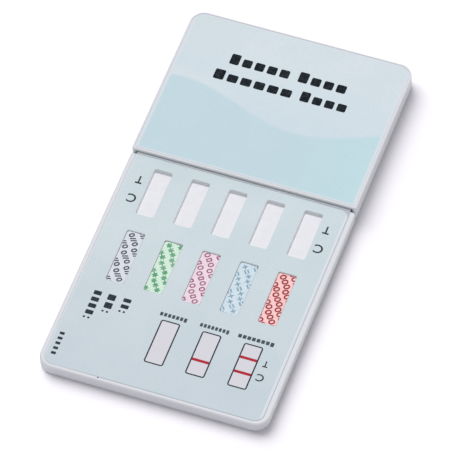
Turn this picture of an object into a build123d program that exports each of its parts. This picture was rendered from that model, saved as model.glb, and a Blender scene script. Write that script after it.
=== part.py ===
from build123d import *
import os

os.makedirs("parts", exist_ok=True)

# A flat dip card for five test strips, with a pull-off cap over their tips.
# Millimetres. +Z is up out of the printed face, +Y runs along the card to the cap,
# and the origin is under the middle of the closed card.

# Outer shape of the closed card, seen from above and at its edges
corner_radius = 3.6
mouth_corner = 0.6
face_round = 0.5
foot_bevel = 0.5
edge_to_strip = 9.4
cap_length = 44.8
legend_length = 27.8

# Walls of the body, and the lip that closes one shell inside the other
side_wall = 1.2
face_wall = 0.5
lip_width = 0.5
lip_height = 0.5
lip_gap = 0.1
parting_rise = 0.2

# Walls of the cap, the neck inside it, and the play between the two
cap_face_round = 0.4
cap_side_wall = 1.2
cap_back_wall = 0.8
cap_face_wall = 1.2
cap_end_wall = 1.2
slide_gap = 0.2
shoulder_gap = 0.2
mouth_bevel = 0.5
neck_plate = 0.5
bump_gap = 0.08
bump_length = 3.0

# Recessed labels and the rims round them
rim_width = 1.1
near_rim_width = 0.75
recess_depth = 0.25
recess_end_corner = 0.3
label_thickness = 0.13
label_gap = 0.15
label_cut_gap = 0.08
cap_rim_width = 0.5
cap_recess_depth = 0.16
cap_recess_corner = 0.8
cap_label_gap = 0.1

# Windows, in two rows, each a little narrower than the strip behind it
strip_cover = 0.3
window_corner = 0.5
mouth_to_result = 3.2
result_length = 13.9
row_gap = 5.1
id_length = 15.2
well_gap = 0.1
press_gap = 0.05

# One test strip: a backing card with a row of lapped pads
strip_count = 5
strip_width = 5.2
strip_play = 0.25
backing_thickness = 0.25
membrane_thickness = 0.15
conjugate_thickness = 0.35
sample_thickness = 0.5
wick_thickness = 0.65
tape_thickness = 0.08
pad_play = 0.05
lap_length = 2.0
lap_ramp = 0.3
membrane_tail = 3.5
membrane_head = 5.4
conjugate_length = 8.0
wick_past_window = 1.6
tip_reach = 15.0
tip_gap = 4.8
crown_gap = 0.1
crown_depth = 0.33

# Ribs that part the strips, and the pins and bosses that join the shells
rib_width = 0.6
rib_gap = 0.1
pin_radius = 0.6
pin_gap = 0.05
pin_lead = 0.15
boss_radius = 1.1
boss_gap = 0.225
panel_rib_width = 0.8

# Across the card: channels with a pair of ribs each, and a gap between that takes a boss
channel_half = strip_width / 2 + strip_play
strip_pitch = 2 * (channel_half + rib_width + boss_radius + boss_gap)
strip_span = (strip_count - 1) * strip_pitch
strip_xs = [index * strip_pitch - strip_span / 2 for index in range(strip_count)]
rib_xs = sorted(x + side * (channel_half + rib_width / 2) for x in strip_xs for side in (-1, 1))
gap_xs = [x + strip_pitch / 2 for x in strip_xs[:-1]]
window_width = strip_width - 2 * strip_cover
well_width = 2 * (channel_half - well_gap)
well_wall = (well_width - window_width) / 2

half_width = strip_span / 2 + edge_to_strip
lip_outer_inset = side_wall + lip_gap
lip_inner_inset = lip_outer_inset + lip_width
lip_inner_half = half_width - lip_inner_inset
cap_inner_half = half_width - cap_side_wall
neck_half = cap_inner_half - slide_gap
neck_inner_half = neck_half - side_wall

# Along the card, from the cap's closed end down to the plain lower panel
window_rows = mouth_to_result + result_length + row_gap + id_length
card_length = cap_length + window_rows + legend_length
far_y = card_length / 2
near_y = -card_length / 2
mouth_y = far_y - cap_length
shoulder_y = mouth_y - shoulder_gap
cap_inner_end = far_y - cap_end_wall
tip_y = cap_inner_end - tip_gap
neck_end_y = tip_y - tip_reach

result_top_y = mouth_y - mouth_to_result
result_low_y = result_top_y - result_length
result_y = (result_top_y + result_low_y) / 2
id_top_y = result_low_y - row_gap
id_low_y = id_top_y - id_length
id_y = (id_top_y + id_low_y) / 2
membrane_low_y = result_low_y - membrane_tail
membrane_high_y = result_top_y + membrane_head
wick_end_y = id_low_y - wick_past_window
channel_end_y = wick_end_y - strip_play
panel_top_y = channel_end_y - rib_width
panel_low_y = near_y + lip_inner_inset

# Up through the card. The tray's floor is level with the underside of the neck, which
# clears the cap's back wall; then come the strip, the face plate and the rim.
floor_height = cap_back_wall + slide_gap
seat_height = floor_height + neck_plate
parting_height = seat_height + parting_rise
backing_top = seat_height + backing_thickness
membrane_top = backing_top + membrane_thickness
pad_stack = max(membrane_thickness + wick_thickness, conjugate_thickness + sample_thickness)
face_under = backing_top + pad_stack + pad_play
rib_top = face_under - rib_gap
recess_floor = face_under + face_wall
label_top = recess_floor + label_thickness
body_height = recess_floor + recess_depth
cap_inner_top = body_height + slide_gap
cap_height = cap_inner_top + cap_face_wall
crown_top = label_top - crown_depth - tape_thickness


def card_outline(low_y, high_y, low_radius, high_radius, inset=0):
    """The card's outline between two places along it, moved in by inset all round."""
    half = half_width - inset
    low = low_y + inset
    high = high_y - inset
    with BuildSketch(Plane.XY, mode=Mode.PRIVATE) as outline:
        with BuildLine():
            FilletPolyline((-half, low), (half, low), (half, high), (-half, high),
                           radius=[low_radius, low_radius, high_radius, high_radius], close=True)
        make_face()
    return outline.sketch


def draw_bar(half, low_y, high_y):
    """Draw a square-cornered bar across the card's middle line in the current sketch."""
    with Locations((0, low_y)):
        Rectangle(2 * half, high_y - low_y, align=(Align.CENTER, Align.MIN))


def draw_ribs(xs, width, low_y, high_y):
    """Draw ribs that run along the card in the current sketch."""
    with Locations(*[(x, low_y) for x in xs]):
        Rectangle(width, high_y - low_y, align=(Align.CENTER, Align.MIN))


def draw_windows(grow):
    """Draw both rows of windows in the current sketch, each larger by grow all round."""
    for row_y, length in ((result_y, result_length), (id_y, id_length)):
        with Locations(*[(x, row_y) for x in strip_xs]):
            RectangleRounded(window_width + 2 * grow, length + 2 * grow, window_corner + grow)


def pin_places():
    """Pins beside the strips, between the outer ones, and under the plain lower panel."""
    side_x = (rib_xs[-1] + rib_width / 2 + lip_inner_half) / 2
    gap_x = gap_xs[-1]
    panel_x = strip_xs[-1]
    half = [(side_x, result_top_y), (side_x, id_low_y)]
    half += [(gap_x, membrane_low_y), (gap_x, neck_end_y - 2 * boss_radius)]
    half += [(panel_x, panel_low_y + 4 * boss_radius), (panel_x, panel_top_y - 3 * boss_radius)]
    return [(side * x, y) for x, y in half for side in (-1, 1)]


pins = pin_places()

# The back shell is a shallow tray: a floor, a wall with a raised inner lip, rails and
# ribs that seat the strips, and a thinner neck that the cap slides over.
with BuildPart() as back_shell:
    with BuildSketch():
        add(card_outline(near_y, shoulder_y, corner_radius, mouth_corner))
    extrude(amount=parting_height)
    chamfer(back_shell.edges().group_by(Axis.Z)[0], length=foot_bevel)
    with BuildSketch(Plane.XY.offset(floor_height)):
        lip_radius = corner_radius - lip_outer_inset
        add(card_outline(near_y, shoulder_y, lip_radius, lip_radius, lip_outer_inset))
    extrude(amount=parting_height + lip_height - floor_height)
    with BuildSketch(Plane.XY.offset(floor_height)):
        hollow_radius = corner_radius - lip_inner_inset
        add(card_outline(near_y, shoulder_y, hollow_radius, hollow_radius, lip_inner_inset))
    extrude(amount=body_height, mode=Mode.SUBTRACT)
    # The neck, and the strips' way out through it
    with BuildSketch(Plane.XY.offset(floor_height)):
        draw_bar(neck_half, shoulder_y - side_wall, neck_end_y)
    extrude(amount=parting_height - floor_height)
    with BuildSketch(Plane.XY.offset(seat_height)):
        draw_bar(neck_inner_half, shoulder_y - 2 * side_wall, neck_end_y)
    extrude(amount=body_height, mode=Mode.SUBTRACT)
    # Two rails carry each strip, and a stop closes its channel
    with BuildSketch(Plane.XY.offset(floor_height)):
        rail_xs = [x + side * strip_width / 4 for x in strip_xs for side in (-1, 1)]
        draw_ribs(rail_xs, strip_width / 4, channel_end_y, shoulder_y)
        draw_bar(rib_xs[-1] + rib_width / 2, panel_top_y, channel_end_y)
    extrude(amount=seat_height - floor_height)
    # Ribs part the strips from the stop to the end of the neck, and more of them carry
    # the face plate over the plain lower panel
    with BuildSketch(Plane.XY.offset(floor_height)):
        draw_ribs(rib_xs, rib_width, panel_top_y, neck_end_y)
        draw_ribs(gap_xs, panel_rib_width, panel_low_y, panel_top_y)
        with Locations((0, (panel_low_y + panel_top_y) / 2)):
            Rectangle(2 * lip_inner_half, panel_rib_width)
    extrude(amount=rib_top - floor_height)
    # Round pins with a bevelled lead, which go into the front shell's six-sided sockets
    with BuildSketch(Plane.XY.offset(floor_height)):
        with Locations(*pins):
            Circle(pin_radius)
    extrude(amount=face_under - floor_height - pin_gap)
    chamfer(back_shell.edges().filter_by(GeomType.CIRCLE).group_by(Axis.Z)[-1], length=pin_lead)
back_shell.part.label = "back_shell"
export_step(back_shell.part, "parts/back_shell.step")

# The front shell is the printed side's plate with a skirt. A low rim frames the label,
# each result window is a well that reaches down to its strip, and each window in the
# lower row is a plain slot.
with BuildPart() as front_shell:
    with BuildSketch(Plane.XY.offset(parting_height)):
        add(card_outline(near_y, shoulder_y, corner_radius, mouth_corner))
    extrude(amount=body_height - parting_height)
    fillet(front_shell.edges().group_by(Axis.Z)[-1], radius=face_round)
    with BuildSketch(Plane.XY.offset(parting_height)):
        draw_bar(neck_half, shoulder_y - side_wall, neck_end_y)
    extrude(amount=body_height - parting_height)
    with BuildSketch(Plane.XY.offset(parting_height)):
        skirt_radius = corner_radius - side_wall
        add(card_outline(near_y, shoulder_y, skirt_radius, skirt_radius, side_wall))
        draw_bar(neck_inner_half, shoulder_y - 2 * side_wall, neck_end_y)
    extrude(amount=face_under - parting_height, mode=Mode.SUBTRACT)
    # The label's recess, which ends at the shoulder where the neck begins
    with BuildSketch(Plane.XY.offset(recess_floor)):
        recess_radius = corner_radius - rim_width
        recess_low = near_y + near_rim_width - rim_width
        recess_high = shoulder_y + rim_width
        add(card_outline(recess_low, recess_high, recess_radius, recess_end_corner, rim_width))
    extrude(amount=recess_depth, mode=Mode.SUBTRACT)
    # Wells round the result windows
    with BuildSketch(Plane.XY.offset(membrane_top + press_gap)):
        with Locations(*[(x, result_y) for x in strip_xs]):
            Rectangle(well_width, result_length + 2 * well_wall)
    extrude(amount=face_under - membrane_top - press_gap)
    # Bosses with six-sided sockets, which round pins can be pressed into
    with BuildSketch(Plane.XY.offset(parting_height)):
        with Locations(*pins):
            RegularPolygon(boss_radius, 6)
    extrude(amount=face_under - parting_height)
    with BuildSketch(Plane.XY.offset(parting_height)):
        with Locations(*pins):
            RegularPolygon(pin_radius + pin_gap, 6, major_radius=False)
    extrude(amount=face_under - parting_height, mode=Mode.SUBTRACT)
    # The windows themselves, cut through the plate and the wells
    with BuildSketch(Plane.XY.offset(parting_height)):
        draw_windows(0)
    extrude(amount=body_height, mode=Mode.SUBTRACT)
    # A shallow bump on each side of the neck grips the cap
    with BuildSketch(Plane.XY.offset(parting_height)):
        with Locations(*[(side * neck_half, (mouth_y + neck_end_y) / 2) for side in (-1, 1)]):
            Ellipse(slide_gap - bump_gap, bump_length / 2)
    extrude(amount=face_under - parting_height)
front_shell.part.label = "front_shell"
export_step(front_shell.part, "parts/front_shell.step")

# The printed film label of the card, cut out over every window
with BuildPart() as card_label:
    with BuildSketch(Plane.XY.offset(recess_floor)):
        label_radius = recess_radius - label_gap
        label_end_corner = recess_end_corner - label_gap
        label_inset = rim_width + label_gap
        add(card_outline(recess_low, recess_high, label_radius, label_end_corner, label_inset))
    extrude(amount=label_thickness)
    with BuildSketch(Plane.XY.offset(recess_floor)):
        draw_windows(label_cut_gap)
    extrude(amount=label_thickness, mode=Mode.SUBTRACT)
card_label.part.label = "card_label"
export_step(card_label.part, "parts/card_label.step")

# The cap is a flat sleeve, closed at its far end, with a shallow recess for its label
with BuildPart() as cap:
    with BuildSketch():
        add(card_outline(mouth_y, far_y, mouth_corner, corner_radius))
    extrude(amount=cap_height)
    chamfer(cap.edges().group_by(Axis.Z)[0], length=foot_bevel)
    fillet(cap.edges().group_by(Axis.Z)[-1], radius=cap_face_round)
    with BuildSketch(Plane.XY.offset(cap_back_wall)) as cavity:
        draw_bar(cap_inner_half, mouth_y, cap_inner_end)
        fillet(cavity.vertices().group_by(Axis.Y)[-1], radius=corner_radius - cap_side_wall)
    extrude(amount=cap_inner_top - cap_back_wall, mode=Mode.SUBTRACT)
    # A lead-in bevel round the mouth, left off the thin back wall
    mouth_face = cap.faces().filter_by(Plane.XZ).sort_by(Axis.Y)[0]
    chamfer(mouth_face.inner_wires()[0].edges().sort_by(Axis.Z)[1:], length=mouth_bevel)
    with BuildSketch(Plane.XY.offset(cap_height - cap_recess_depth)):
        cap_recess_radius = corner_radius - cap_rim_width
        add(card_outline(mouth_y, far_y, cap_recess_corner, cap_recess_radius, cap_rim_width))
    extrude(amount=cap_recess_depth, mode=Mode.SUBTRACT)
cap.part.label = "cap"
export_step(cap.part, "parts/cap.step")

# The cap's own printed film label
with BuildPart() as cap_label:
    with BuildSketch(Plane.XY.offset(cap_height - cap_recess_depth)):
        cap_label_inset = cap_rim_width + cap_label_gap
        cap_label_corner = cap_recess_corner - cap_label_gap
        cap_label_radius = cap_recess_radius - cap_label_gap
        add(card_outline(mouth_y, far_y, cap_label_corner, cap_label_radius, cap_label_inset))
    extrude(amount=label_thickness)
cap_label.part.label = "cap_label"
export_step(cap_label.part, "parts/cap_label.step")


def lapped_profile(lap_tip, lap_foot, far_end, lap_z, seat_z, thickness):
    """The side view of a pad that lies on the backing and climbs over its neighbour's end.

    lap_tip is its end on the neighbour, lap_foot the neighbour's own end, and far_end
    its other end. It rests at lap_z on the neighbour and at seat_z on the backing.
    """
    way = 1 if far_end > lap_tip else -1
    ramp_foot = lap_foot + way * lap_ramp
    under = [(lap_tip, lap_z), (lap_foot, lap_z), (ramp_foot, seat_z), (far_end, seat_z)]
    over = [(y, z + thickness) for y, z in reversed(under)]
    with BuildSketch(Plane.XY, mode=Mode.PRIVATE) as profile:
        with BuildLine():
            Polyline(*under, *over, close=True)
        make_face()
    return profile.sketch


def crown_outline(x):
    """The outline of the swollen part of a wick, which fills its window."""
    with BuildSketch(Plane.XY, mode=Mode.PRIVATE) as outline:
        with Locations((x, id_y)):
            Rectangle(window_width - 2 * crown_gap, id_length - 2 * crown_gap)
        chamfer(outline.vertices(), length=window_corner - crown_gap)
    return outline.sketch


# Five like strips, each a backing card with its pads lapped along it. The wick swells
# into its window in the lower row, and a printed tape that tells the strips apart
# covers it there.
conjugate_start = membrane_high_y - lap_length
conjugate_end = conjugate_start + conjugate_length
for number, x in enumerate(strip_xs, start=1):
    with BuildPart() as backing:
        with BuildSketch(Plane.XY.offset(seat_height)):
            draw_ribs([x], strip_width, wick_end_y, tip_y)
        extrude(amount=backing_thickness)
    backing.part.label = f"backing_{number}"
    export_step(backing.part, f"parts/backing_{number}.step")

    with BuildPart() as membrane:
        with BuildSketch(Plane.XY.offset(backing_top)):
            draw_ribs([x], strip_width, membrane_low_y, membrane_high_y)
        extrude(amount=membrane_thickness)
    membrane.part.label = f"membrane_{number}"
    export_step(membrane.part, f"parts/membrane_{number}.step")

    with BuildPart() as conjugate_pad:
        with BuildSketch(Plane.YZ.offset(x)):
            add(lapped_profile(conjugate_start, membrane_high_y, conjugate_end,
                               membrane_top, backing_top, conjugate_thickness))
        extrude(amount=strip_width / 2, both=True)
    conjugate_pad.part.label = f"conjugate_pad_{number}"
    export_step(conjugate_pad.part, f"parts/conjugate_pad_{number}.step")

    with BuildPart() as sample_pad:
        with BuildSketch(Plane.YZ.offset(x)):
            add(lapped_profile(conjugate_end - lap_length, conjugate_end, tip_y,
                               backing_top + conjugate_thickness, backing_top, sample_thickness))
        extrude(amount=strip_width / 2, both=True)
    sample_pad.part.label = f"sample_pad_{number}"
    export_step(sample_pad.part, f"parts/sample_pad_{number}.step")

    with BuildPart() as wick:
        with BuildSketch(Plane.YZ.offset(x)):
            add(lapped_profile(membrane_low_y + lap_length, membrane_low_y, wick_end_y,
                               membrane_top, backing_top, wick_thickness))
        extrude(amount=strip_width / 2, both=True)
        with BuildSketch(Plane.XY.offset(backing_top)):
            add(crown_outline(x))
        extrude(amount=crown_top - backing_top)
    wick.part.label = f"wick_{number}"
    export_step(wick.part, f"parts/wick_{number}.step")

    with BuildPart() as id_tape:
        with BuildSketch(Plane.XY.offset(crown_top)):
            add(crown_outline(x))
        extrude(amount=tape_thickness)
    id_tape.part.label = f"id_tape_{number}"
    export_step(id_tape.part, f"parts/id_tape_{number}.step")
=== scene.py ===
import math

import bmesh
import bpy
from mathutils import Matrix, Vector


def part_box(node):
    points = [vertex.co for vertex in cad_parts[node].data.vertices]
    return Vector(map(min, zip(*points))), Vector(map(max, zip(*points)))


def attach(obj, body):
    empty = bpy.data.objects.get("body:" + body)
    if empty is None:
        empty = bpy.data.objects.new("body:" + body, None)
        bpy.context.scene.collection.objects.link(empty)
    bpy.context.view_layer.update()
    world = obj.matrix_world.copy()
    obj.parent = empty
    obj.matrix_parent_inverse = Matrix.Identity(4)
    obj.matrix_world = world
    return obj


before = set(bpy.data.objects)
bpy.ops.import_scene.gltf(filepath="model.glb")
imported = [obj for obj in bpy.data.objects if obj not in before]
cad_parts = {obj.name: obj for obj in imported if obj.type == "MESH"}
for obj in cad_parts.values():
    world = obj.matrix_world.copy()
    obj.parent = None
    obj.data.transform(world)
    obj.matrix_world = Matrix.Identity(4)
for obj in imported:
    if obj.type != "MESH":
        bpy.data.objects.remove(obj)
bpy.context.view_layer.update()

# Backing cards
# Each test strip is built on a stiff white vinyl card with adhesive on its upper side.
# The card is cut from calendered sheet and lies on two rails of the back shell.
# Sizes are in millimetres, apart from those of the bench, lamps and camera. MM makes them metres.
MM = 0.001
STRIPS = range(1, 6)
VINYL = "#F0EFEB"
VINYL_SCUFF = "#E6E5E1"
VINYL_SCUFF_SIZE = 4.0
VINYL_GRAIN = 0.3
VINYL_RELIEF = 0.004


def linear(code):
    """Turn an sRGB hex colour into the linear values that a shader takes."""
    parts = [int(code[place:place + 2], 16) / 255 for place in (1, 3, 5)]
    return [*(part / 12.92 if part <= 0.04045 else ((part + 0.055) / 1.055) ** 2.4
              for part in parts), 1.0]


def add_node(tree, kind, inputs={}, **options):
    """Add a node with its own options, and give its sockets values or the nodes that feed them."""
    node = tree.nodes.new(kind)
    for option, value in options.items():
        setattr(node, option, value)
    for name, value in inputs.items():
        socket = node.inputs[name] if isinstance(name, int) else next(
            entry for entry in node.inputs if entry.enabled and entry.name == name)
        if isinstance(value, bpy.types.Node):
            value = next(output for output in value.outputs if output.enabled)
        if isinstance(value, bpy.types.NodeSocket):
            tree.links.new(value, socket)
        else:
            socket.default_value = value
    return node


def start_material(name):
    """An empty material, with a node that gives Object coordinates in millimetres."""
    material = bpy.data.materials.new(name)
    material.use_nodes = True
    tree = material.node_tree
    tree.nodes.clear()
    place = add_node(tree, "ShaderNodeTexCoord").outputs["Object"]
    mm = add_node(tree, "ShaderNodeMapping", {"Vector": place, "Scale": (1 / MM, 1 / MM, 1 / MM)})
    return material, tree, mm


def end_material(tree, shader_inputs):
    """Close a material with a Principled shader that has these inputs."""
    surface = add_node(tree, "ShaderNodeBsdfPrincipled", shader_inputs)
    add_node(tree, "ShaderNodeOutputMaterial", {"Surface": surface})


def dress(material, *nodes):
    """Give CAD nodes a material in place of the plain one they came with."""
    for node in nodes:
        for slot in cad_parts[node].material_slots:
            slot.material = material


# Rigid vinyl, calendered: smooth and slightly waxy, with soft drifts of scuffing.
vinyl, tree, mm = start_material("calendered_white_vinyl")
scuffs = add_node(tree, "ShaderNodeTexNoise", {
    "Vector": mm, "Scale": 1 / VINYL_SCUFF_SIZE, "Detail": 4.0})
grain = add_node(tree, "ShaderNodeTexNoise", {"Vector": mm, "Scale": 1 / VINYL_GRAIN, "Detail": 2.0})
end_material(tree, {
    "Base Color": add_node(tree, "ShaderNodeMix", {
        "Factor": scuffs, "A": linear(VINYL), "B": linear(VINYL_SCUFF)}, data_type="RGBA"),
    "Roughness": add_node(tree, "ShaderNodeMapRange", {
        "Value": scuffs, "To Min": 0.30, "To Max": 0.48}),
    "IOR": 1.53,
    "Normal": add_node(tree, "ShaderNodeBump", {
        "Height": grain, "Strength": 0.3, "Distance": VINYL_RELIEF * MM}),
})
dress(vinyl, *(f"backing_{number}" for number in STRIPS))

# Membranes
# The test and control lines form on a ribbon of cast nitrocellulose, stuck to the middle
# of the backing card. It shows chalk white at the bottom of each result window.
NITROCELLULOSE = "#ECECF0"
NITROCELLULOSE_SHADE = "#E6E6EB"


def fibre_sheet(name, pale, deep, fibre_length, fibre_width, clump, relief, rough):
    """A matt sheet of short fibres, which run both along and across it."""
    material, tree, mm = start_material(name)
    weave = []
    for across, along in ((fibre_width, fibre_length), (fibre_length, fibre_width)):
        stretched = add_node(tree, "ShaderNodeMapping", {
            "Vector": mm, "Scale": (1 / across, 1 / along, 1 / fibre_width)})
        weave.append(add_node(tree, "ShaderNodeTexNoise", {
            "Vector": stretched, "Scale": 1.0, "Detail": 3.0, "Distortion": 1.2}))
    fibres = add_node(tree, "ShaderNodeMath", {0: weave[0], 1: weave[1]}, operation="MAXIMUM")
    clumps = add_node(tree, "ShaderNodeTexNoise", {"Vector": mm, "Scale": 1 / clump, "Detail": 3.0})
    depth = add_node(tree, "ShaderNodeMath", {0: fibres, 1: clumps}, operation="MULTIPLY")
    end_material(tree, {
        "Base Color": add_node(tree, "ShaderNodeMix", {
            "Factor": add_node(tree, "ShaderNodeMapRange", {
                "Value": depth, "From Min": 0.15, "From Max": 0.45}),
            "A": linear(deep), "B": linear(pale)}, data_type="RGBA"),
        "Roughness": rough,
        "IOR": 1.5,
        "Specular IOR Level": 0.2,
        "Normal": add_node(tree, "ShaderNodeBump", {
            "Height": depth, "Strength": 0.6, "Distance": relief * MM}),
    })
    return material


# Cast nitrocellulose: dead matt and chalky, with a pore structure too fine to show, drawn
# as a 0.2 mm grain.
membrane = fibre_sheet("cast_nitrocellulose", NITROCELLULOSE, NITROCELLULOSE_SHADE,
                       fibre_length=0.25, fibre_width=0.15, clump=1.8, relief=0.01, rough=0.95)
dress(membrane, *(f"membrane_{number}" for number in STRIPS))

# Conjugate pads
# A strip of glass fibre that holds the dried, coloured conjugate. It laps over the end of
# the membrane and hides under the cap until the card is used.
CONJUGATE_PALE = "#D9B9B8"
CONJUGATE_DEEP = "#A9686E"

# Glass fibre with dried conjugate: dusky red, uneven where the liquid dried in.
conjugate = fibre_sheet("glass_fibre_with_conjugate", CONJUGATE_PALE, CONJUGATE_DEEP,
                        fibre_length=1.4, fibre_width=0.12, clump=1.5, relief=0.03, rough=0.9)
dress(conjugate, *(f"conjugate_pad_{number}" for number in STRIPS))

# Sample pads
# The strip's dipping end, of thick cellulose felt that laps over the conjugate pad. All
# five stand out of the neck and show once the cap is off.
CELLULOSE = "#F9F8F6"
CELLULOSE_SHADE = "#EAE9E5"

# Cellulose felt: soft, off-white and fluffy, with fibres that catch the light.
felt = fibre_sheet("cellulose_felt", CELLULOSE, CELLULOSE_SHADE,
                   fibre_length=1.6, fibre_width=0.16, clump=1.2, relief=0.06, rough=1.0)
dress(felt, *(f"sample_pad_{number}" for number in STRIPS))

# Wicks
# Thick cotton paper that draws the liquid along. It laps over the membrane's other end and
# swells into the lower window, under the strip's coloured tape.
COTTON = "#F2F1EE"
COTTON_SHADE = "#E0DFDB"

# Cotton paper: white and close, with a blotting paper's tooth.
cotton = fibre_sheet("cotton_wick_paper", COTTON, COTTON_SHADE,
                     fibre_length=1.0, fibre_width=0.14, clump=1.5, relief=0.04, rough=0.95)
dress(cotton, *(f"wick_{number}" for number in STRIPS))

# Coloured tapes
# A printed polyester tape lies over each wick and tells the five strips apart. Its print
# is a plain repeat of small marks, three to a group, in slanting rows.
INK_LIFT = 0.002
INK_DEPTH = 0.010
BARE_FILM = "#F4F6F8"
TAPE_MARGIN = 0.04
TAPE_CORNER_CUT = 0.4
TAPE_DRIFT = 1.6
TAPE_DOTS = 0.22
# The groups' turn in degrees, their pitch both ways, the shift of each row and its misprint.
GROUP_TURN = -55.0
GROUP_ACROSS = 2.15
GROUP_ALONG = 5.74
GROUP_STAGGER = 1.48
GROUP_COLUMNS, GROUP_ROWS = 7, 9
MISPRINT = 0.05
MISPRINT_SEED = 20


def rounded(x0, x1, y0, y1, radius, steps=4):
    """The outline of a rectangle with rounded corners, anticlockwise."""
    centres = [(x1 - radius, y1 - radius), (x0 + radius, y1 - radius),
               (x0 + radius, y0 + radius), (x1 - radius, y0 + radius)]
    return [(x + radius * math.cos(math.radians(90 * (quarter + step / steps))),
             y + radius * math.sin(math.radians(90 * (quarter + step / steps))))
            for quarter, (x, y) in enumerate(centres) for step in range(steps + 1)]


def ring(x, y, half_wide, half_high, line):
    """The outer and inner outlines of a closed line round a place."""
    corner = min(half_wide, half_high)
    inner_wide, inner_high = half_wide - line, half_high - line
    return (rounded(x - half_wide, x + half_wide, y - half_high, y + half_high, corner, 5),
            rounded(x - inner_wide, x + inner_wide, y - inner_high, y + inner_high,
                    min(inner_wide, inner_high), 5))


def bar(x0, y0, x1, y1, line):
    """The outline of a straight stroke from one place to another."""
    along = Vector((x1 - x0, y1 - y0)).normalized() * line / 2
    side = Vector((-along.y, along.x))
    return [(x0 - side.x, y0 - side.y), (x1 - side.x, y1 - side.y),
            (x1 + side.x, y1 + side.y), (x0 + side.x, y0 + side.y)]


def star(x, y, reach, waist, points):
    """The outline of a star with its first point along +X."""
    turns = [(math.pi * step / points, waist if step % 2 else reach) for step in range(2 * points)]
    return [(x + radius * math.cos(turn), y + radius * math.sin(turn)) for turn, radius in turns]


def ink_mesh(name, shapes, level):
    """Thin closed slabs of ink just over a level. A shape is an outline, or a pair for a ring."""
    build = bmesh.new()
    low, high = level + INK_LIFT, level + INK_LIFT + INK_DEPTH
    for shape in shapes:
        loops = shape if isinstance(shape, tuple) else (shape,)
        tiers = [[[build.verts.new((x * MM, y * MM, z * MM)) for x, y in loop] for loop in loops]
                 for z in (low, high)]
        count = len(loops[0])
        for here in range(count):
            after = (here + 1) % count
            for number in range(len(loops)):
                wall = (tiers[0][number][here], tiers[0][number][after],
                        tiers[1][number][after], tiers[1][number][here])
                build.faces.new(wall if number == 0 else wall[::-1])
            if len(loops) == 2:
                for tier, turn in ((0, -1), (1, 1)):
                    outer, inner = tiers[tier]
                    build.faces.new((outer[here], outer[after], inner[after], inner[here])[::turn])
        if len(loops) == 1:
            build.faces.new(tiers[1][0])
            build.faces.new(tiers[0][0][::-1])
    mesh = bpy.data.meshes.new(name)
    build.to_mesh(mesh)
    build.free()
    return mesh


def add_piece(name, mesh, material, body):
    """Put a finished mesh into the scene, where it rides on a body and takes a slot's finish."""
    piece = bpy.data.objects.new(name, mesh)
    bpy.context.scene.collection.objects.link(piece)
    mesh.materials.clear()
    mesh.materials.append(material)
    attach(piece, body)


def printing_ink(name, code, thin_share=0.03, patch=0.5):
    """Dried flexographic ink: dead matt and even, with faint thin places of this share and size."""
    material, tree, mm = start_material(name)
    thin = add_node(tree, "ShaderNodeTexNoise", {"Vector": mm, "Scale": 1 / patch, "Detail": 3.0})
    end_material(tree, {
        "Base Color": add_node(tree, "ShaderNodeMix", {
            "Factor": add_node(tree, "ShaderNodeMapRange", {
                "Value": thin, "From Min": 0.4, "From Max": 0.7, "To Max": thin_share}),
            "A": linear(code), "B": linear(BARE_FILM)}, data_type="RGBA"),
        "Roughness": 0.6,
        "IOR": 1.5,
        "Specular IOR Level": 0.06,
    })
    return material


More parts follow.
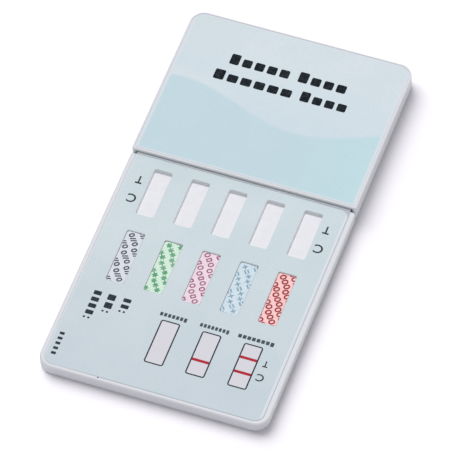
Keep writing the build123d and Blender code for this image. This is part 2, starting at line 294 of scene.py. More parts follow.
def tape_print_tree():
    """Geometry nodes that lay a group of marks out in slanting, staggered rows."""
    tree = bpy.data.node_groups.new("tape_print", "GeometryNodeTree")
    sockets = {}
    for label, kind in (("Group", "NodeSocketObject"), ("Ink", "NodeSocketMaterial"),
                        ("Columns", "NodeSocketInt"), ("Rows", "NodeSocketInt"),
                        ("Across", "NodeSocketFloat"), ("Along", "NodeSocketFloat"),
                        ("Stagger", "NodeSocketFloat"), ("Turn", "NodeSocketFloat"),
                        ("Misprint", "NodeSocketFloat"), ("Seed", "NodeSocketInt")):
        sockets[label] = tree.interface.new_socket(label, in_out="INPUT", socket_type=kind).identifier
    tree.interface.new_socket("Print", in_out="OUTPUT", socket_type="NodeSocketGeometry")
    given = add_node(tree, "NodeGroupInput").outputs
    sizes = []
    for count, pitch in (("Columns", "Across"), ("Rows", "Along")):
        gaps = add_node(tree, "ShaderNodeMath", {0: given[count], 1: 1.0}, operation="SUBTRACT")
        sizes.append(add_node(tree, "ShaderNodeMath", {0: gaps, 1: given[pitch]}, operation="MULTIPLY"))
    grid = add_node(tree, "GeometryNodeMeshGrid", {
        "Size X": sizes[0], "Size Y": sizes[1],
        "Vertices X": given["Columns"], "Vertices Y": given["Rows"]})
    place = add_node(tree, "ShaderNodeSeparateXYZ", {
        "Vector": add_node(tree, "GeometryNodeInputPosition")})
    column = add_node(tree, "ShaderNodeMath", {
        0: place.outputs["X"], 1: given["Across"]}, operation="DIVIDE")
    rise = add_node(tree, "ShaderNodeMath", {0: column, 1: given["Stagger"]}, operation="MULTIPLY")
    slip = add_node(tree, "ShaderNodeMath", {0: given["Misprint"], 1: -1.0}, operation="MULTIPLY")
    drift_x = add_node(tree, "FunctionNodeRandomValue", {
        "Min": slip, "Max": given["Misprint"], "Seed": given["Seed"]}, data_type="FLOAT")
    other_seed = add_node(tree, "ShaderNodeMath", {0: given["Seed"], 1: 7.0}, operation="ADD")
    drift_y = add_node(tree, "FunctionNodeRandomValue", {
        "Min": slip, "Max": given["Misprint"], "Seed": other_seed}, data_type="FLOAT")
    along = add_node(tree, "ShaderNodeMath", {0: rise, 1: drift_y}, operation="ADD")
    moved = add_node(tree, "GeometryNodeSetPosition", {
        "Geometry": grid,
        "Offset": add_node(tree, "ShaderNodeCombineXYZ", {"X": drift_x, "Y": along})})
    group = add_node(tree, "GeometryNodeObjectInfo", {
        "Object": given["Group"]}, transform_space="ORIGINAL")
    placed = add_node(tree, "GeometryNodeInstanceOnPoints", {
        "Points": moved, "Instance": group.outputs["Geometry"],
        "Rotation": add_node(tree, "ShaderNodeCombineXYZ", {"Z": given["Turn"]})})
    inked = add_node(tree, "GeometryNodeSetMaterial", {
        "Geometry": add_node(tree, "GeometryNodeRealizeInstances", {"Geometry": placed}),
        "Material": given["Ink"]})
    add_node(tree, "NodeGroupOutput", {"Print": inked})
    return tree, sockets


def trim_to_tape(mesh, low, high, corner):
    """Cut a print off at the edges and cut corners of its tape."""
    build = bmesh.new()
    build.from_mesh(mesh)
    bmesh.ops.triangulate(build, faces=build.faces[:])
    planes = [((low.x, 0, 0), (-1, 0, 0)), ((high.x, 0, 0), (1, 0, 0)),
              ((0, low.y, 0), (0, -1, 0)), ((0, high.y, 0), (0, 1, 0))]
    for side_x, edge_x in ((-1, low.x), (1, high.x)):
        for side_y, edge_y in ((-1, low.y), (1, high.y)):
            planes.append(((edge_x - side_x * corner, edge_y, 0), (side_x, side_y, 0)))
    for point, outward in planes:
        cut = bmesh.ops.bisect_plane(
            build, geom=build.verts[:] + build.edges[:] + build.faces[:], dist=1e-7,
            plane_co=point, plane_no=outward, clear_outer=True)
        rims = [item for item in cut["geom_cut"] if isinstance(item, bmesh.types.BMEdge)]
        bmesh.ops.holes_fill(build, edges=rims)
    build.to_mesh(mesh)
    build.free()


def tape_film(name, ground, blush):
    """Printed polyester tape: smooth and half glossy, its pale tint uneven from the rollers."""
    material, tree, mm = start_material(name)
    drift = add_node(tree, "ShaderNodeTexNoise", {"Vector": mm, "Scale": 1 / TAPE_DRIFT, "Detail": 3.0})
    dots = add_node(tree, "ShaderNodeTexNoise", {"Vector": mm, "Scale": 1 / TAPE_DOTS, "Detail": 1.0})
    faint_dots = add_node(tree, "ShaderNodeMath", {0: dots, 1: 0.35, 2: -0.17}, operation="MULTIPLY_ADD")
    tint = add_node(tree, "ShaderNodeMath", {0: drift, 1: faint_dots}, operation="ADD")
    end_material(tree, {
        "Base Color": add_node(tree, "ShaderNodeMix", {
            "Factor": add_node(tree, "ShaderNodeMapRange", {
                "Value": tint, "From Min": 0.35, "From Max": 0.65}),
            "A": linear(ground), "B": linear(blush)}, data_type="RGBA"),
        "Roughness": 0.32,
        "IOR": 1.6,
    })
    return material


# The marks of each tape, drawn flat about the middle of a three-mark group that reads along +X.
# A ring has its middle, half sizes and line, a bar its ends and line, a star its middle, reach,
# waist and points.
grey_marks = [ring(-1.4, 0, 0.56, 0.74, 0.35), bar(-0.55, -0.7, -0.1, 0.7, 0.35),
              bar(0.1, -0.7, 0.55, 0.7, 0.35), ring(1.4, 0, 0.56, 0.74, 0.35)]
green_marks = [star(x, 0, 0.88, 0.50, 6) for x in (-1.45, 0, 1.45)]
pink_marks = [ring(-1.5, 0, 0.62, 0.76, 0.32), ring(1.5, 0, 0.62, 0.76, 0.32),
              (rounded(-0.52, 0.52, -0.7, 0.7, 0.14), rounded(-0.2, 0.2, -0.38, 0.38, 0.06))]
blue_marks = [star(-1.45, 0, 0.88, 0.34, 4), bar(-0.58, 0.37, 0.58, 0.37, 0.41),
              bar(-0.58, -0.37, 0.58, -0.37, 0.41), star(1.45, 0, 0.88, 0.34, 4)]
red_marks = [ring(x, 0, 0.68, 0.84, 0.38) for x in (-1.46, 0, 1.46)]

# Number, name, marks, ground tint, its blush, ink, its thin places, and the groups' closeness.
TAPES = (
    (1, "grey", grey_marks, "#DBE0E9", "#D4D9E3", "#3E414D", 0.08, 0.95),
    (2, "green", green_marks, "#CCE8D4", "#D6ECDD", "#58A276", 0.30, 0.94),
    (3, "pink", pink_marks, "#EFDAE6", "#E9D2E0", "#9A5876", 0.12, 0.97),
    (4, "blue", blue_marks, "#D1E1EB", "#CADBE6", "#88A8BA", 0.18, 0.92),
    (5, "red", red_marks, "#FACDCC", "#F6C2C1", "#9C2632", 0.06, 0.93),
)

print_tree, print_sockets = tape_print_tree()
for number, tint, marks, ground, blush, ink_code, thin_share, closeness in TAPES:
    tape = f"id_tape_{number}"
    dress(tape_film(f"printed_{tint}_polyester_tape", ground, blush), tape)
    low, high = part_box(tape)
    ink = printing_ink(f"{tint}_tape_ink", ink_code, thin_share, patch=1.3)
    group = bpy.data.objects.new("marks", ink_mesh("marks", marks, high.z / MM))
    sheet = bpy.data.objects.new("print", bpy.data.meshes.new("print"))
    bpy.context.scene.collection.objects.link(sheet)
    modifier = sheet.modifiers.new("tape_print", "NODES")
    modifier.node_group = print_tree
    for label, value in (("Group", group), ("Ink", ink),
                         ("Columns", GROUP_COLUMNS), ("Rows", GROUP_ROWS),
                         ("Across", GROUP_ACROSS * closeness * MM),
                         ("Along", GROUP_ALONG * closeness * MM),
                         ("Stagger", GROUP_STAGGER * closeness * MM),
                         ("Turn", math.radians(GROUP_TURN)),
                         ("Misprint", MISPRINT * MM), ("Seed", MISPRINT_SEED + number)):
        modifier[print_sockets[label]] = value
    graph = bpy.context.evaluated_depsgraph_get()
    mesh = bpy.data.meshes.new_from_object(sheet.evaluated_get(graph))
    bpy.data.objects.remove(sheet)
    bpy.data.objects.remove(group)
    middle = (low + high) / 2
    mesh.transform(Matrix.Translation((middle.x, middle.y, 0)))
    margin = Vector((TAPE_MARGIN, TAPE_MARGIN, 0)) * MM
    trim_to_tape(mesh, low + margin, high - margin, TAPE_CORNER_CUT * MM)
    add_piece(f"{tint}_tape_print", mesh, ink, "card")

# Back shell and front shell
# The card's two halves are moulded in white impact polystyrene: a tray with rails and
# ribs for the strips, and a plate with a rim, windows and a neck. Pins join them.
POLYSTYRENE = "#DDDFE4"
POLYSTYRENE_SHADE = "#D8DAE0"
FLOW_SIZE = 14.0
SHELL_SCUFF_SIZE = 2.5
SPARK_GRAIN = 0.28
SPARK_RELIEF = 0.006


def moulded_polystyrene(name, shift):
    """Injection moulded polystyrene: white and satin, its shine faintly uneven from place to place."""
    material, tree, mm = start_material(name)
    shifted = add_node(tree, "ShaderNodeMapping", {"Vector": mm, "Location": (shift, shift, 0)})
    flow = add_node(tree, "ShaderNodeTexNoise", {
        "Vector": shifted, "Scale": 1 / FLOW_SIZE, "Detail": 2.0})
    scuffs = add_node(tree, "ShaderNodeTexNoise", {
        "Vector": shifted, "Scale": 1 / SHELL_SCUFF_SIZE, "Detail": 5.0, "Distortion": 0.6})
    # The real spark-eroded grain, about 0.05 mm, is too fine to show, so it is drawn at 0.28 mm.
    grain = add_node(tree, "ShaderNodeTexNoise", {
        "Vector": shifted, "Scale": 1 / SPARK_GRAIN, "Detail": 2.0})
    end_material(tree, {
        "Base Color": add_node(tree, "ShaderNodeMix", {
            "Factor": flow, "A": linear(POLYSTYRENE), "B": linear(POLYSTYRENE_SHADE)}, data_type="RGBA"),
        "Roughness": add_node(tree, "ShaderNodeMapRange", {
            "Value": scuffs, "From Min": 0.3, "From Max": 0.7, "To Min": 0.40, "To Max": 0.52}),
        "IOR": 1.59,
        "Specular IOR Level": 0.4,
        "Normal": add_node(tree, "ShaderNodeBump", {
            "Height": grain, "Strength": 0.5, "Distance": SPARK_RELIEF * MM}),
    })
    return material


dress(moulded_polystyrene("moulded_white_polystyrene", shift=0.0), "back_shell", "front_shell")

# Card label
# A matt laminated film label, printed pale blue, lies in the front shell's recess. It is
# die-cut over the windows and keeps unprinted edges at its sides, the wider at the right.
FILM = "#D8DEE5"
FILM_GRAIN = 0.2
FILM_RELIEF = 0.003
PALE_BLUE = "#D0DCE1"
# The pale blue darkened by painted shade at the near end.
PALE_BLUE_SHADED = "#CAD4DC"
# Where along the card the painted shade starts to grey the pale blue, and where it is full.
PALE_FROM, PALE_TO = -14.0, -46.0
# The print screen's turn is in degrees, and its pitch is that of its dots.
SCREEN_BLUE = "#A6BCC6"
SCREEN_TURN = 38.0
SCREEN_PITCH = 0.65
# The print lies in the film's upper skin. Each of its edges has an axis, place, way in and softness.
TOP_SKIN, TOP_SOFT = 0.02, 0.01
PRINT_EDGES = (("X", -27.05, 1, 0.06), ("X", 26.45, -1, 0.06))
LABEL_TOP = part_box("card_label")[1].z / MM


def screen_mottle(tree, mm, drift_size, dot_weight, dot_base):
    """Soft drifts with the dots of a print screen over them."""
    drift = add_node(tree, "ShaderNodeTexNoise", {
        "Vector": mm, "Scale": 1 / drift_size, "Detail": 5.0, "Roughness": 0.65})
    turned = add_node(tree, "ShaderNodeMapping", {
        "Vector": mm, "Rotation": (0, 0, math.radians(SCREEN_TURN))})
    screen = add_node(tree, "ShaderNodeTexVoronoi", {
        "Vector": turned, "Scale": 1 / SCREEN_PITCH, "Randomness": 0.35})
    dots = add_node(tree, "ShaderNodeMath", {
        0: screen, 1: dot_weight, 2: dot_base}, operation="MULTIPLY_ADD")
    return add_node(tree, "ShaderNodeMath", {0: drift, 1: dots}, operation="ADD")


def print_mask(tree, axes, top, edges):
    """One where the film is printed: on its upper side, within the print's edges. Elsewhere zero."""
    sides = [add_node(tree, "ShaderNodeMapRange", {
        "Value": axes[axis], "From Min": edge - way * soft, "From Max": edge + way * soft})
        for axis, edge, way, soft in (*edges, ("Z", top - TOP_SKIN, 1, TOP_SOFT))]
    mask = sides[0]
    for side in sides[1:]:
        mask = add_node(tree, "ShaderNodeMath", {0: mask, 1: side}, operation="MULTIPLY")
    return mask


def end_film(tree, mm, colour):
    """Close a label's material with the even, low shine of matt laminated film."""
    grain = add_node(tree, "ShaderNodeTexNoise", {"Vector": mm, "Scale": 1 / FILM_GRAIN, "Detail": 2.0})
    end_material(tree, {
        "Base Color": colour,
        "Roughness": 0.5,
        "IOR": 1.49,
        "Specular IOR Level": 0.35,
        "Normal": add_node(tree, "ShaderNodeBump", {
            "Height": grain, "Strength": 0.25, "Distance": FILM_RELIEF * MM}),
    })


# Matt laminated film: soft and even, with a faint print screen, drawn at 0.65 mm so that
# it shows, and painted shade that greys the pale blue a little towards the near end. Its cut sides are
# plain.
film, tree, mm = start_material("matt_laminated_label_film")
axes = add_node(tree, "ShaderNodeSeparateXYZ", {"Vector": mm}).outputs
mottle = screen_mottle(tree, mm, drift_size=18.0, dot_weight=0.6, dot_base=-0.22)
ground = add_node(tree, "ShaderNodeMix", {
    "Factor": add_node(tree, "ShaderNodeMapRange", {
        "Value": axes["Y"], "From Min": PALE_FROM, "From Max": PALE_TO}),
    "A": linear(PALE_BLUE), "B": linear(PALE_BLUE_SHADED)}, data_type="RGBA")
printed = add_node(tree, "ShaderNodeMix", {
    "Factor": add_node(tree, "ShaderNodeMapRange", {
        "Value": mottle, "From Min": 0.3, "From Max": 0.7, "To Max": 0.2}),
    "A": ground, "B": linear(SCREEN_BLUE)}, data_type="RGBA")
inked_film = add_node(tree, "ShaderNodeMix", {
    "Factor": print_mask(tree, axes, LABEL_TOP, PRINT_EDGES),
    "A": linear(FILM), "B": printed}, data_type="RGBA")

# A thin grey line of painted shade runs along the film's near and right edges, for the shade in the gap
# beside the rim.
# Measured out from the corners' centres, the film ends at the corner radius.
GAP_SHADE = "#B6BDC6"
GAP_SHADE_WIDTH = 0.17
GAP_SHADE_SOFT = 0.05
FILM_MIDDLE = (0, -22.125, 0)
FILM_HALF_WIDE, FILM_HALF_LONG = 27.25, 31.975
FILM_CORNER = 2.35
ANY_HEIGHT = 100
# Towards the near right, where the painted shade line shows, in shares of the card's half width and half
# length.
NEAR_RIGHT = (1 / 28, -1 / 55, 0)
# Where along that way the painted shade line fades in, and where it is full.
SHADED_SIDE_FROM, SHADED_SIDE_TO = 0.2, 0.6
gap_shade_at = FILM_CORNER - GAP_SHADE_WIDTH
corner_centre = (FILM_HALF_WIDE - FILM_CORNER, FILM_HALF_LONG - FILM_CORNER, ANY_HEIGHT)
reach = add_node(tree, "ShaderNodeVectorMath", {0: mm, 1: FILM_MIDDLE}, operation="SUBTRACT")
reach = add_node(tree, "ShaderNodeVectorMath", {0: reach}, operation="ABSOLUTE")
reach = add_node(tree, "ShaderNodeVectorMath", {0: reach, 1: corner_centre}, operation="SUBTRACT")
reach = add_node(tree, "ShaderNodeVectorMath", {0: reach, 1: (0, 0, 0)}, operation="MAXIMUM")
reach = add_node(tree, "ShaderNodeVectorMath", {0: reach}, operation="LENGTH")
# The painted shade line, just inside the film's rounded outline.
line = add_node(tree, "ShaderNodeMapRange", {
    "Value": reach, "From Min": gap_shade_at - GAP_SHADE_SOFT, "From Max": gap_shade_at + GAP_SHADE_SOFT})
shaded_sides = add_node(tree, "ShaderNodeMapRange", {
    "Value": add_node(tree, "ShaderNodeVectorMath", {0: mm, 1: NEAR_RIGHT}, operation="DOT_PRODUCT"),
    "From Min": SHADED_SIDE_FROM, "From Max": SHADED_SIDE_TO})
# The painted shade line goes over the film's colour here.
end_film(tree, mm, add_node(tree, "ShaderNodeMix", {
    "Factor": add_node(tree, "ShaderNodeMath", {0: line, 1: shaded_sides}, operation="MULTIPLY"),
    "A": inked_film, "B": linear(GAP_SHADE)}, data_type="RGBA"))
dress(film, "card_label")

# Marks and legend
# Printed with the label: a C and a T beside the outer result windows, as on any such test,
# and a legend of three small strips with their red lines. Each is a thin film of dried ink.
MARK_INK = "#28323B"
# How wide each mark is beside the built-in face, and the weight added to its strokes.
MARK_FORMS = {"C": (1.02, 0.013), "T": (0.84, 0.025)}
# Half the thickness that the face is drawn with, before the mark is flattened.
FACE_DEPTH = 0.05
# Name, letter, place and height of each mark. A C is a little taller than its T.
MARKS = (
    ("left_test_mark", "T", -23.8, 2.7, 2.3),
    ("left_control_mark", "C", -23.75, -3.0, 2.5),
    ("right_test_mark", "T", 23.6, 2.9, 2.3),
    ("right_control_mark", "C", 23.5, -2.9, 2.5),
    ("legend_test_mark", "T", 22.75, -38.2, 1.8),
    ("legend_control_mark", "C", 22.75, -42.25, 2.05),
)
mark_ink = printing_ink("dark_label_ink", MARK_INK)


def mark_mesh(letter, x, y, height):
    """A single mark in the plain built-in face, upside down about its middle, as a thin slab."""
    wide, weight = MARK_FORMS[letter]
    face = bpy.data.curves.new("mark", "FONT")
    face.body = letter
    face.align_x, face.align_y = "CENTER", "CENTER"
    face.offset = weight
    face.extrude = FACE_DEPTH
    holder = bpy.data.objects.new("mark", face)
    bpy.context.scene.collection.objects.link(holder)
    graph = bpy.context.evaluated_depsgraph_get()
    mesh = bpy.data.meshes.new_from_object(holder.evaluated_get(graph))
    bpy.data.objects.remove(holder)
    foot = min(vertex.co.y for vertex in mesh.vertices)
    head = max(vertex.co.y for vertex in mesh.vertices)
    middle = (head + foot) / 2
    grow = height * MM / (head - foot)
    mesh.transform(Matrix.Translation((0, -middle, 0)))
    mesh.transform(Matrix.Diagonal((grow * wide, grow, INK_DEPTH * MM / (2 * FACE_DEPTH), 1)))
    mesh.transform(Matrix.Rotation(math.pi, 4, "Z"))
    ink_middle = LABEL_TOP + INK_LIFT + INK_DEPTH / 2
    mesh.transform(Matrix.Translation((x * MM, y * MM, ink_middle * MM)))
    return mesh


for name, letter, x, y, height in MARKS:
    add_piece(name, mark_mesh(letter, x, y, height), mark_ink, "card")

LEGEND_LINE = 0.34
LEGEND_BOXES = ((-4.7, 0.1), (5.56, 10.4), (16.0, 20.8))
LEGEND_LOW, LEGEND_HIGH = -46.6, -33.9
LEGEND_CORNER = 0.6
LEGEND_GROUND = "#D9D7DF"
# The box that each red line crosses, and its place along the card.
RED_LINES = ((1, -42.2), (2, -42.2), (2, -38.0))
RED_LINE_WIDTH = 0.74
RED_LINE_CORNER = 0.05
RED_INK = "#B4263A"
outlines = []
grounds = []
for x0, x1 in LEGEND_BOXES:
    inner = rounded(x0 + LEGEND_LINE, x1 - LEGEND_LINE, LEGEND_LOW + LEGEND_LINE,
                    LEGEND_HIGH - LEGEND_LINE, LEGEND_CORNER - LEGEND_LINE)
    outlines.append((rounded(x0, x1, LEGEND_LOW, LEGEND_HIGH, LEGEND_CORNER), inner))
    grounds.append(inner)
red_lines = []
for box, y in RED_LINES:
    x0, x1 = LEGEND_BOXES[box]
    red_lines.append(rounded(x0 + LEGEND_LINE, x1 - LEGEND_LINE, y - RED_LINE_WIDTH / 2,
                             y + RED_LINE_WIDTH / 2, RED_LINE_CORNER))
add_piece("legend_outlines", ink_mesh("legend_outlines", outlines, LABEL_TOP),
          mark_ink, "card")
add_piece("legend_grounds", ink_mesh("legend_grounds", grounds, LABEL_TOP),
          printing_ink("pale_lavender_ink", LEGEND_GROUND), "card")
add_piece("legend_red_lines", ink_mesh("legend_red_lines", red_lines, LABEL_TOP + INK_DEPTH + INK_LIFT),
          printing_ink("red_line_ink", RED_INK), "card")

# Caption, field and edge blocks
# Rows of small plain blocks are printed over the legend, beside it and at the card's left
# edge, in the label's dark inks. Each row beside the legend ends in two dots.

# Start, end and count of each caption's blocks. The last one stands a little taller.
CAPTIONS = ((-5.6, 1.1, 7), (4.4, 11.6, 8), (13.9, 22.8, 8))
CAPTION_LOW, CAPTION_HIGH = -33.1, -31.9
CAPTION_RISE = 0.18
CAPTION_GAP = 0.28
SMALL_CORNER = 0.12
CAPTION_INK = "#454F59"


def block_row(start, end, count, gap):
    """Split a run into a number of like blocks with a gap between them; gives (from, to) pairs."""
    wide = (end - start - gap * (count - 1)) / count
    starts = [start + place * (wide + gap) for place in range(count)]
    return [(low, low + wide) for low in starts]


blocks = []
for start, end, count in CAPTIONS:
    row = block_row(start, end, count, CAPTION_GAP)
    for x0, x1 in row:
        low = CAPTION_LOW + (0 if (x0, x1) == row[-1] else CAPTION_RISE)
        blocks.append(rounded(x0, x1, low, CAPTION_HIGH, SMALL_CORNER, 2))
add_piece("caption_blocks", ink_mesh("caption_blocks", blocks, LABEL_TOP),
          printing_ink("grey_caption_ink", CAPTION_INK), "card")

# Each row's middle across the card, its end along the card, and its count of blocks.
FIELDS = ((-14.2, -33.9, 2), (-18.0, -35.1, 2), (-21.6, -38.0, 4))
FIELD_START = -31.0
FIELD_HALF_HEIGHT = 0.97
FIELD_GAP = 0.72
FIELD_CORNER = 0.2
DOT_OFFSETS = (-0.75, 0.35)
DOT = 0.52
DOT_CORNER = 0.1
CODE_LEFT, CODE_RIGHT = -26.05, -24.85
CODE_START, CODE_END = -44.8, -51.4
CODE_BLOCKS = 5
blocks = []
for x, end, count in FIELDS:
    for y0, y1 in block_row(-FIELD_START, -end, count, FIELD_GAP):
        blocks.append(rounded(x - FIELD_HALF_HEIGHT, x + FIELD_HALF_HEIGHT, -y1, -y0, FIELD_CORNER, 3))
    dot_top = end - FIELD_GAP
    for offset in DOT_OFFSETS:
        dot_left = x + offset - DOT / 2
        blocks.append(rounded(dot_left, dot_left + DOT, dot_top - DOT, dot_top, DOT_CORNER, 2))
for y0, y1 in block_row(-CODE_START, -CODE_END, CODE_BLOCKS, FIELD_GAP):
    blocks.append(rounded(CODE_LEFT, CODE_RIGHT, -y1, -y0, SMALL_CORNER, 2))
add_piece("field_name_blocks", ink_mesh("field_name_blocks", blocks, LABEL_TOP),
          mark_ink, "card")

# Speck
# A dark crumb of dust, 0.4 mm across, clings to the near rim beside the label, as on the
# real card. It is drawn as thin as the ink.
RIM_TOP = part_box("front_shell")[1].z / MM
SPECK = (-13.27, -12.9, -54.5, -54.2)
SPECK_CORNER = 0.14
speck = ink_mesh("dust_speck", [rounded(*SPECK, SPECK_CORNER, 3)], RIM_TOP)
add_piece("dust_speck", speck, mark_ink, "card")

# Cap
# A flat sleeve moulded in the same white polystyrene pushes on over the neck, where two
# small bumps grip it. It is closed at the far end and keeps the pads clean until use.
dress(moulded_polystyrene("moulded_white_polystyrene_cap", shift=60.0), "cap")

# Cap label
# A second film label lies in the cap's shallow recess. Its soft pattern of pale blue
# fields, parted by one long wave, is printed with narrow bare edges.
CAP_PALE = "#D7E1E7"
CAP_PALE_LOW = "#D1DEE7"
CAP_BLUE = "#C3D9E2"
CAP_AQUA = "#C0DCE3"
CAP_STREAK = "#D8E2E8"
# The wave is a cosine across the label. A paler streak follows it at the left, the field
# below it turns to aqua at the right, and the field above it turns paler to the far end.
WAVE_MIDDLE = 30.5
WAVE_HEIGHT = 3.9
WAVE_LENGTH = 62.0
WAVE_START = -24.0
WAVE_EDGE = 0.7
STREAK_LOW, STREAK_HIGH = 0.3, 4.5
STREAK_FROM, STREAK_TO = -4.0, -22.0
AQUA_FROM, AQUA_TO = 2.0, 27.0
CAP_PALE_FROM, CAP_PALE_TO = 30.0, 48.0
CAP_EDGES = (("X", -27.2, 1, 0.25), ("X", 27.3, -1, 0.25), ("Y", 11.2, 1, 0.2), ("Y", 54.05, -1, 0.15))
CAP_LABEL_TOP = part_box("cap_label")[1].z / MM

# The same matt film, with the wave drawn from its real height and length in millimetres.
cap_film, tree, mm = start_material("matt_laminated_cap_film")
axes = add_node(tree, "ShaderNodeSeparateXYZ", {"Vector": mm}).outputs
past_start = add_node(tree, "ShaderNodeMath", {0: axes["X"], 1: WAVE_START}, operation="SUBTRACT")
angle = add_node(tree, "ShaderNodeMath", {
    0: past_start, 1: 2 * math.pi / WAVE_LENGTH}, operation="MULTIPLY")
wave = add_node(tree, "ShaderNodeMath", {
    0: add_node(tree, "ShaderNodeMath", {0: angle}, operation="COSINE"),
    1: WAVE_HEIGHT, 2: WAVE_MIDDLE}, operation="MULTIPLY_ADD")
over_wave = add_node(tree, "ShaderNodeMath", {0: axes["Y"], 1: wave}, operation="SUBTRACT")
upper = add_node(tree, "ShaderNodeMapRange", {
    "Value": over_wave, "From Min": -WAVE_EDGE, "From Max": WAVE_EDGE}, interpolation_type="SMOOTHSTEP")
aqua = add_node(tree, "ShaderNodeMapRange", {
    "Value": axes["X"], "From Min": AQUA_FROM, "From Max": AQUA_TO}, interpolation_type="SMOOTHSTEP")
lower_tint = add_node(tree, "ShaderNodeMix", {
    "Factor": aqua, "A": linear(CAP_BLUE), "B": linear(CAP_AQUA)}, data_type="RGBA")
streak_top = add_node(tree, "ShaderNodeMapRange", {
    "Value": over_wave, "From Min": STREAK_HIGH, "From Max": STREAK_LOW}, interpolation_type="SMOOTHSTEP")
streak_left = add_node(tree, "ShaderNodeMapRange", {
    "Value": axes["X"], "From Min": STREAK_FROM, "From Max": STREAK_TO}, interpolation_type="SMOOTHSTEP")
pale_tint = add_node(tree, "ShaderNodeMix", {
    "Factor": add_node(tree, "ShaderNodeMapRange", {
        "Value": axes["Y"], "From Min": CAP_PALE_FROM, "From Max": CAP_PALE_TO}),
    "A": linear(CAP_PALE_LOW), "B": linear(CAP_PALE)}, data_type="RGBA")
upper_tint = add_node(tree, "ShaderNodeMix", {
    "Factor": add_node(tree, "ShaderNodeMath", {0: streak_top, 1: streak_left}, operation="MULTIPLY"),
    "A": pale_tint, "B": linear(CAP_STREAK)}, data_type="RGBA")
fields = add_node(tree, "ShaderNodeMix", {
    "Factor": upper, "A": lower_tint, "B": upper_tint}, data_type="RGBA")
mottle = screen_mottle(tree, mm, drift_size=20.0, dot_weight=0.75, dot_base=-0.27)
printed = add_node(tree, "ShaderNodeMix", {
    "Factor": add_node(tree, "ShaderNodeMapRange", {
        "Value": mottle, "From Min": 0.3, "From Max": 0.7, "To Max": 0.16}),
    "A": fields, "B": linear(SCREEN_BLUE)}, data_type="RGBA")
end_film(tree, mm, add_node(tree, "ShaderNodeMix", {
    "Factor": print_mask(tree, axes, CAP_LABEL_TOP, CAP_EDGES),
    "A": linear(FILM), "B": printed}, data_type="RGBA"))
dress(cap_film, "cap_label")

# Title blocks
# Two bold rows of plain dark blocks are printed on the cap's label, each in two groups. The
# first block of each group stands a little taller.
TITLE_INK = "#0B161F"
TITLE_GAP = 0.83
TITLE_CORNER = 0.4
TITLE_SMALL = 0.76
# Start, end, foot, height and count of each group's blocks.
TITLE_GROUPS = ((-15.0, 0.2, 41.75, 3.2, 5), (2.6, 14.75, 41.75, 3.2, 4),
                (-17.3, 2.6, 36.4, 3.05, 6), (4.9, 16.6, 36.4, 3.05, 4))
blocks = []
for start, end, foot, tall, count in TITLE_GROUPS:
    row = block_row(start, end, count, TITLE_GAP)
    for x0, x1 in row:
        high = foot + tall * (1 if (x0, x1) == row[0] else TITLE_SMALL)
        blocks.append(rounded(x0, x1, foot, high, TITLE_CORNER))
add_piece("title_blocks", ink_mesh("title_blocks", blocks, CAP_LABEL_TOP),
          printing_ink("black_title_ink", TITLE_INK), "cap")

# Bench top
# The card lies on a plain white bench top of melamine board, which fills the view and
# stays a hair below its underside.
BENCH_WHITE = "#F6F4F9"
BENCH_HALF = 3.0
BENCH_LEVEL = -2e-5
bench_mesh = bpy.data.meshes.new("bench_top")
bench_mesh.from_pydata(
    [(x * BENCH_HALF, y * BENCH_HALF, BENCH_LEVEL) for x, y in ((-1, -1), (1, -1), (1, 1), (-1, 1))],
    [], [(0, 1, 2, 3)])
bench_top = bpy.data.objects.new("bench_top", bench_mesh)
bpy.context.scene.collection.objects.link(bench_top)

# White melamine: plain, dead matt and even, so that nothing but the card's soft shadow shows.
bench, tree, _ = start_material("white_melamine_bench_top")
add_node(tree, "ShaderNodeOutputMaterial", {
    "Surface": add_node(tree, "ShaderNodeBsdfDiffuse", {"Color": linear(BENCH_WHITE)})})
bench_mesh.materials.append(bench)

# Studio light
# One broad lamp hangs overhead and lights the card alone. A wide, lower one from the far
# left lights the bench alone and gives it the card's soft shadow. An even room fills both.
LAMP_PLACE = Vector((0.07, 0.05, 0.90))
LAMP_SIZE = 0.44
LAMP_POWER = 5.07
lamp_data = bpy.data.lights.new("soft_lamp", "AREA")
lamp_data.shape = "DISK"
lamp_data.size = LAMP_SIZE
lamp_data.energy = LAMP_POWER
lamp = bpy.data.objects.new("soft_lamp", lamp_data)
bpy.context.scene.collection.objects.link(lamp)
lamp.location = LAMP_PLACE
lamp.rotation_euler = LAMP_PLACE.to_track_quat("Z", "Y").to_euler()

SKY_LEAN = Vector((-0.67, 0.53, 1.0))
SKY_SPREAD = 52.0
SKY_STRENGTH = 2.98
sky_data = bpy.data.lights.new("bench_lamp", "SUN")
sky_data.energy = SKY_STRENGTH
sky_data.angle = math.radians(SKY_SPREAD)
sky = bpy.data.objects.new("bench_lamp", sky_data)
bpy.context.scene.collection.objects.link(sky)
sky.rotation_euler = SKY_LEAN.to_track_quat("Z", "Y").to_euler()

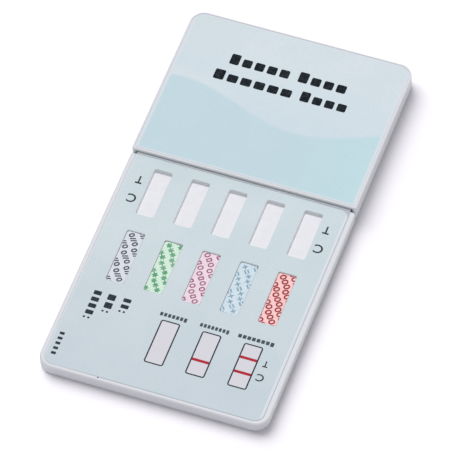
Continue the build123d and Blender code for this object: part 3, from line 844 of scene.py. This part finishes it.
for light, state in ((lamp, "EXCLUDE"), (sky, "INCLUDE")):
    lit = bpy.data.collections.new(f"{light.name}_and_bench")
    lit.objects.link(bench_top)
    lit.collection_objects[0].light_linking.link_state = state
    light.light_linking.receiver_collection = lit

room = bpy.data.worlds.new("white_room")
room.use_nodes = True
room.node_tree.nodes.clear()
tree = room.node_tree
ROOM_FILL = 0.40
rays = add_node(tree, "ShaderNodeLightPath").outputs
seen = add_node(tree, "ShaderNodeMath", {
    0: rays["Is Camera Ray"], 1: rays["Is Glossy Ray"]}, operation="MAXIMUM")
seen = add_node(tree, "ShaderNodeMath", {0: seen, 1: rays["Is Transmission Ray"]}, operation="MAXIMUM")
strength = add_node(tree, "ShaderNodeMapRange", {"Value": seen, "To Min": ROOM_FILL, "To Max": 1.0})
glow = add_node(tree, "ShaderNodeBackground", {"Color": linear("#FFFFFF"), "Strength": strength})
add_node(tree, "ShaderNodeOutputWorld", {"Surface": glow})
bpy.context.scene.world = room

# Camera
# The photograph was taken with a long lens from the near right, a little turned. Lens and
# sensor are in millimetres, and the three angles are in degrees.
TARGET = Vector((-0.72, -1.12, 0.0)) * MM
DISTANCE = 1.242
LENS, SENSOR = 415.9, 36.0
AZIMUTH, ELEVATION, ROLL = 21.62, 53.93, -2.36
azimuth, elevation, roll = (math.radians(angle) for angle in (AZIMUTH, ELEVATION, ROLL))
back = Vector((math.sin(azimuth) * math.cos(elevation), -math.cos(azimuth) * math.cos(elevation),
               math.sin(elevation)))
level = Vector((math.cos(azimuth), math.sin(azimuth), 0))
upright = back.cross(level)
right = level * math.cos(roll) + upright * math.sin(roll)
up = upright * math.cos(roll) - level * math.sin(roll)
camera_data = bpy.data.cameras.new("camera")
camera_data.lens = LENS
camera_data.sensor_width = SENSOR
camera = bpy.data.objects.new("camera", camera_data)
bpy.context.scene.collection.objects.link(camera)
turn = Matrix((right, up, back)).transposed().to_4x4()
camera.matrix_world = Matrix.Translation(TARGET + back * DISTANCE) @ turn
bpy.context.scene.camera = camera
bpy.context.scene.view_settings.view_transform = "Standard"
